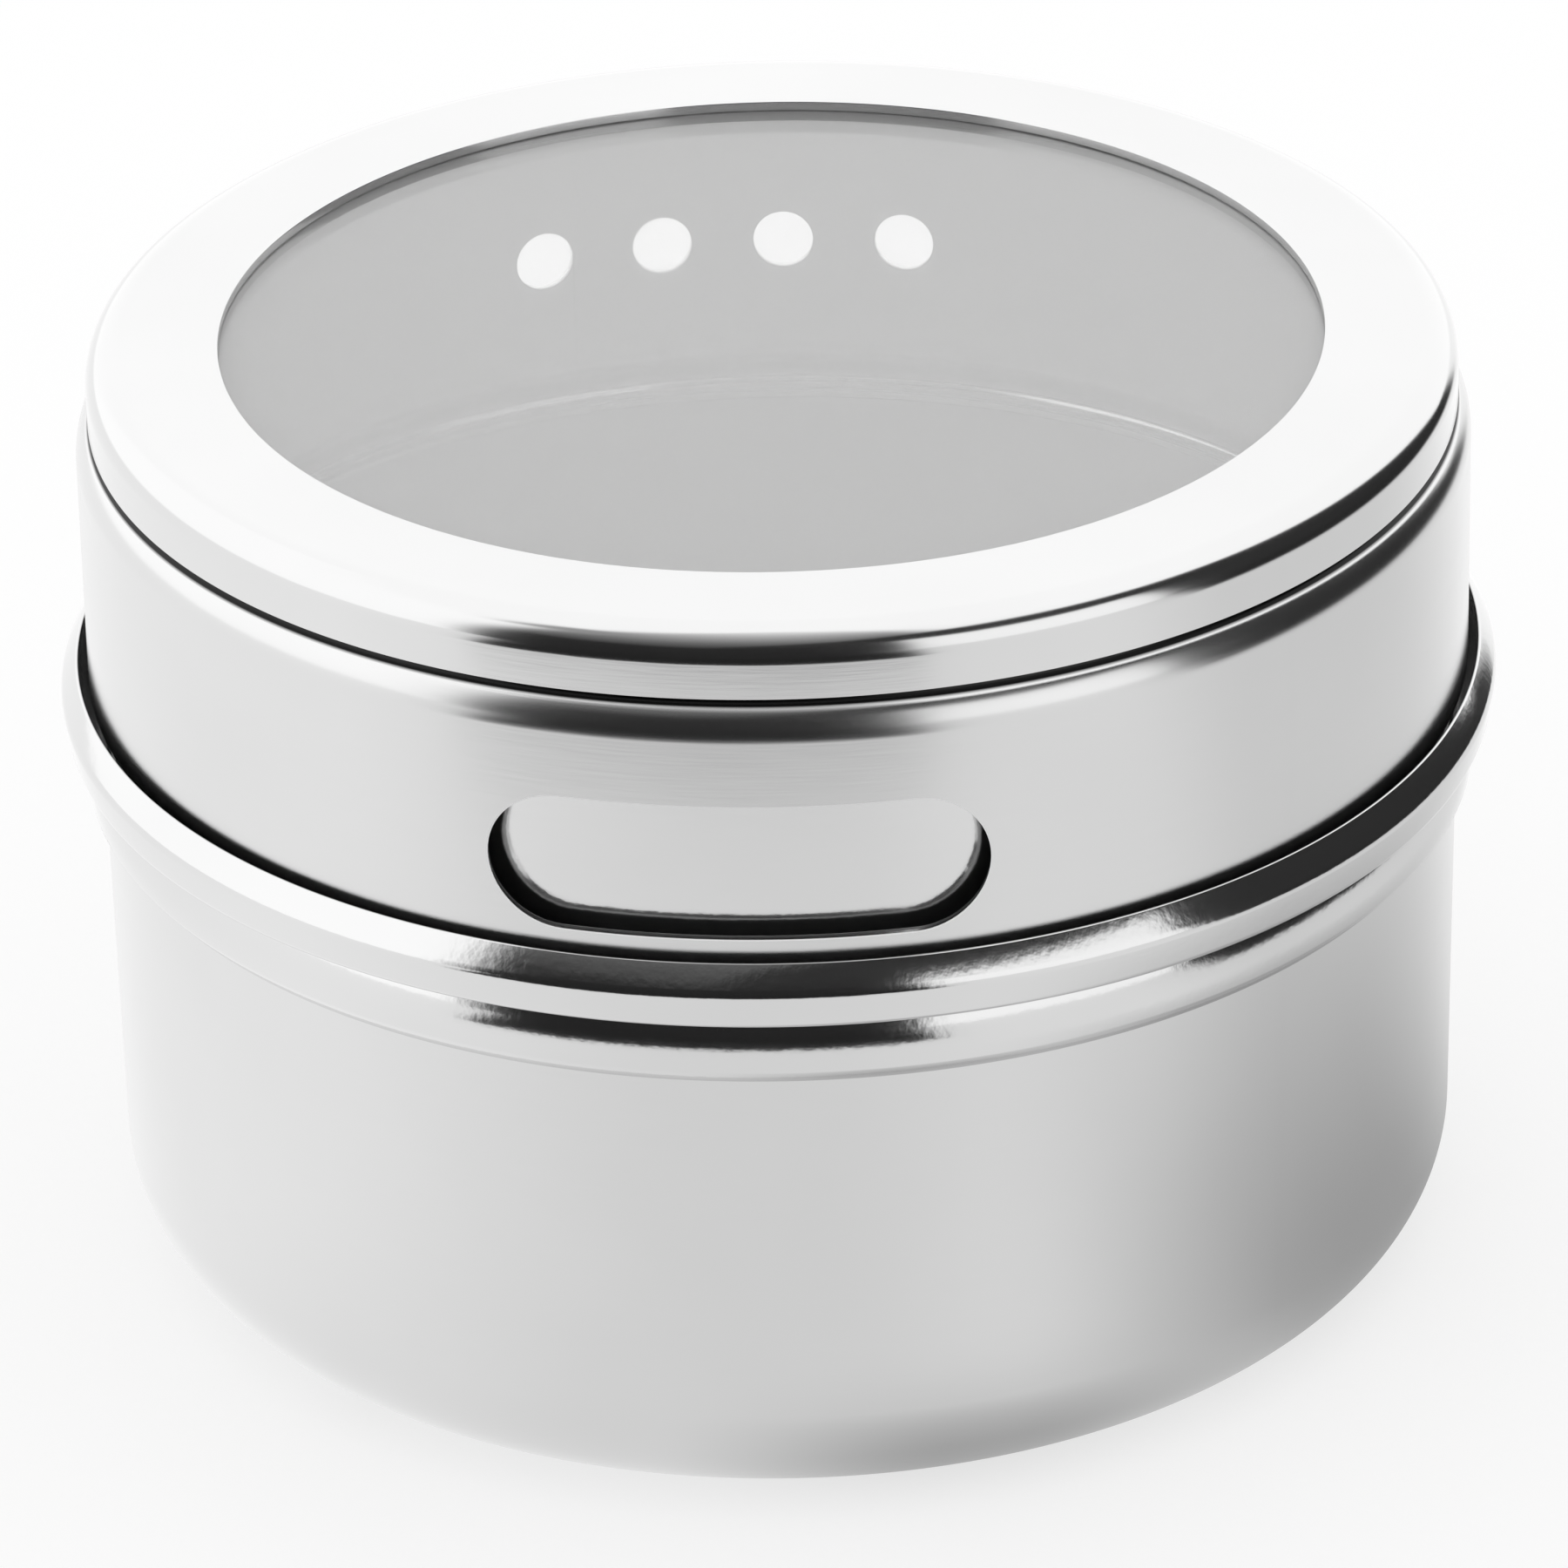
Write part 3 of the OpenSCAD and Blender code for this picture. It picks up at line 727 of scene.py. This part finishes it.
# The dark wall is straight, so its top looks lower towards its ends. Its height is in shares of how
# far away it stands.
wall_heading = 45.0
wall_height = 1.28
wall_headings = (-10, 140)
wall_soft = 6
wall_top_soft = 2
wall_dark = 0.03
off_wall = add(sky_tree, "ShaderNodeMath", (heading, wall_heading), operation="SUBTRACT")
off_wall = add(sky_tree, "ShaderNodeMath", (off_wall,), operation="RADIANS")
wall_top = add(sky_tree, "ShaderNodeMath", (off_wall,), operation="COSINE")
wall_top = add(sky_tree, "ShaderNodeMath", (wall_top, wall_height), operation="MULTIPLY")
wall_top = add(sky_tree, "ShaderNodeMath", (wall_top,), operation="ARCTANGENT")
wall_top = add(sky_tree, "ShaderNodeMath", (wall_top,), operation="DEGREES")
over_wall = add(sky_tree, "ShaderNodeMath", (rise, wall_top), operation="SUBTRACT")
dark_wall = add(sky_tree, "ShaderNodeMapRange", (over_wall, -wall_top_soft, wall_top_soft, 1.0, 0.0),
                interpolation_type="SMOOTHSTEP")
wall_ends = between(sky_tree, heading, *wall_headings, wall_soft)
dark_wall = add(sky_tree, "ShaderNodeMath", (dark_wall, wall_ends), operation="MULTIPLY")
light = add(sky_tree, "ShaderNodeMix", {0: dark_wall, 2: light, 3: wall_dark}, data_type="FLOAT")
light = panel(light, **camera_gap)
light = panel(light, **right_box)
sky_rays = add(sky_tree, "ShaderNodeLightPath").outputs
light = add(sky_tree, "ShaderNodeMix", {
    0: sky_rays["Is Glossy Ray"], 2: 1.0, 3: light}, data_type="FLOAT")
sky = add(sky_tree, "ShaderNodeBackground", {"Color": light})
add(sky_tree, "ShaderNodeOutputWorld", {"Surface": sky})

# Floor and backdrop
# A white table top with no edge in view. It keeps the box's soft shadow. What the lens and the
# window see of it is white. What the steel mirrors of it is white at the left and behind, shaded
# by the box at the right, and dark past the edge of the light, in front and at the right.
floor_size = 3.0
floor_gap = 0.02 * MM
floor_mesh = bpy.data.meshes.new("floor")
floor_mesh.from_pydata([(x * floor_size, y * floor_size, -floor_gap)
                        for x, y in ((-1, -1), (1, -1), (1, 1), (-1, 1))], [], [(0, 1, 2, 3)])
floor = bpy.data.objects.new("floor", floor_mesh)
bpy.context.scene.collection.objects.link(floor)
floor_paint = bpy.data.materials.new("White table top")
floor_paint.use_nodes = True
floor_tree = floor_paint.node_tree
floor_tree.nodes.clear()
place = add(floor_tree, "ShaderNodeTexCoord").outputs["Object"]
place = add(floor_tree, "ShaderNodeVectorMath", {0: place, "Scale": 1 / MM}, operation="SCALE")
table_heading = heading_of(floor_tree, place)[0]
away = add(floor_tree, "ShaderNodeVectorMath", (place,), operation="LENGTH").outputs["Value"]
# How the table's light changes from one heading to the next, in degrees.
light_changes = ((-75, 0, -0.2), (5, 35, 0.08), (48, 72, -0.14), (100, 150, 0.3))
table = 1.1
for low, high, change in light_changes:
    change = add(floor_tree, "ShaderNodeMapRange", (table_heading, low, high, 0.0, change),
                 interpolation_type="SMOOTHSTEP")
    table = add(floor_tree, "ShaderNodeMath", (table, change), operation="ADD")
# Each shade changes between two distances in mm, from one depth to another, within its headings.
box_shade = ((40, 80), (0.47, 0.0), (40, 100), 40)
near_shade = ((31, 44), (0.45, 0.0), (0, 36), 30)
front_edge = ((118, 128), (0.0, 0.98), (-45, 21), 4)
right_edge = ((150, 190), (0.0, 0.97), (65, 140), 6)
for distances, depths, headings, soft in (box_shade, near_shade, front_edge, right_edge):
    depth = add(floor_tree, "ShaderNodeMapRange", (away, *distances, *depths))
    sides = between(floor_tree, table_heading, *headings, soft)
    shade = add(floor_tree, "ShaderNodeMath", (depth, sides), operation="MULTIPLY")
    left = add(floor_tree, "ShaderNodeMath", (1.0, shade), operation="SUBTRACT")
    table = add(floor_tree, "ShaderNodeMath", (table, left), operation="MULTIPLY")
shadow_depth = 0.35
rays = add(floor_tree, "ShaderNodeLightPath").outputs
direct = add(floor_tree, "ShaderNodeMath", (rays["Is Camera Ray"], rays["Is Transmission Ray"]),
             operation="MAXIMUM")
plain = add(floor_tree, "ShaderNodeBsdfDiffuse", {"Color": linear("#E8E8E8")})
grey = add(floor_tree, "ShaderNodeBsdfDiffuse", {"Color": [shadow_depth] * 3 + [1]})
lift = add(floor_tree, "ShaderNodeEmission", {"Color": [1 - shadow_depth] * 3 + [1]})
white = add(floor_tree, "ShaderNodeAddShader", (grey, lift))
mirrored = add(floor_tree, "ShaderNodeEmission", {"Color": table})
seen = add(floor_tree, "ShaderNodeMixShader", (rays["Is Glossy Ray"], plain, mirrored))
seen = add(floor_tree, "ShaderNodeMixShader", (direct, seen, white))
add(floor_tree, "ShaderNodeOutputMaterial", {"Surface": seen})
floor_mesh.materials.append(floor_paint)
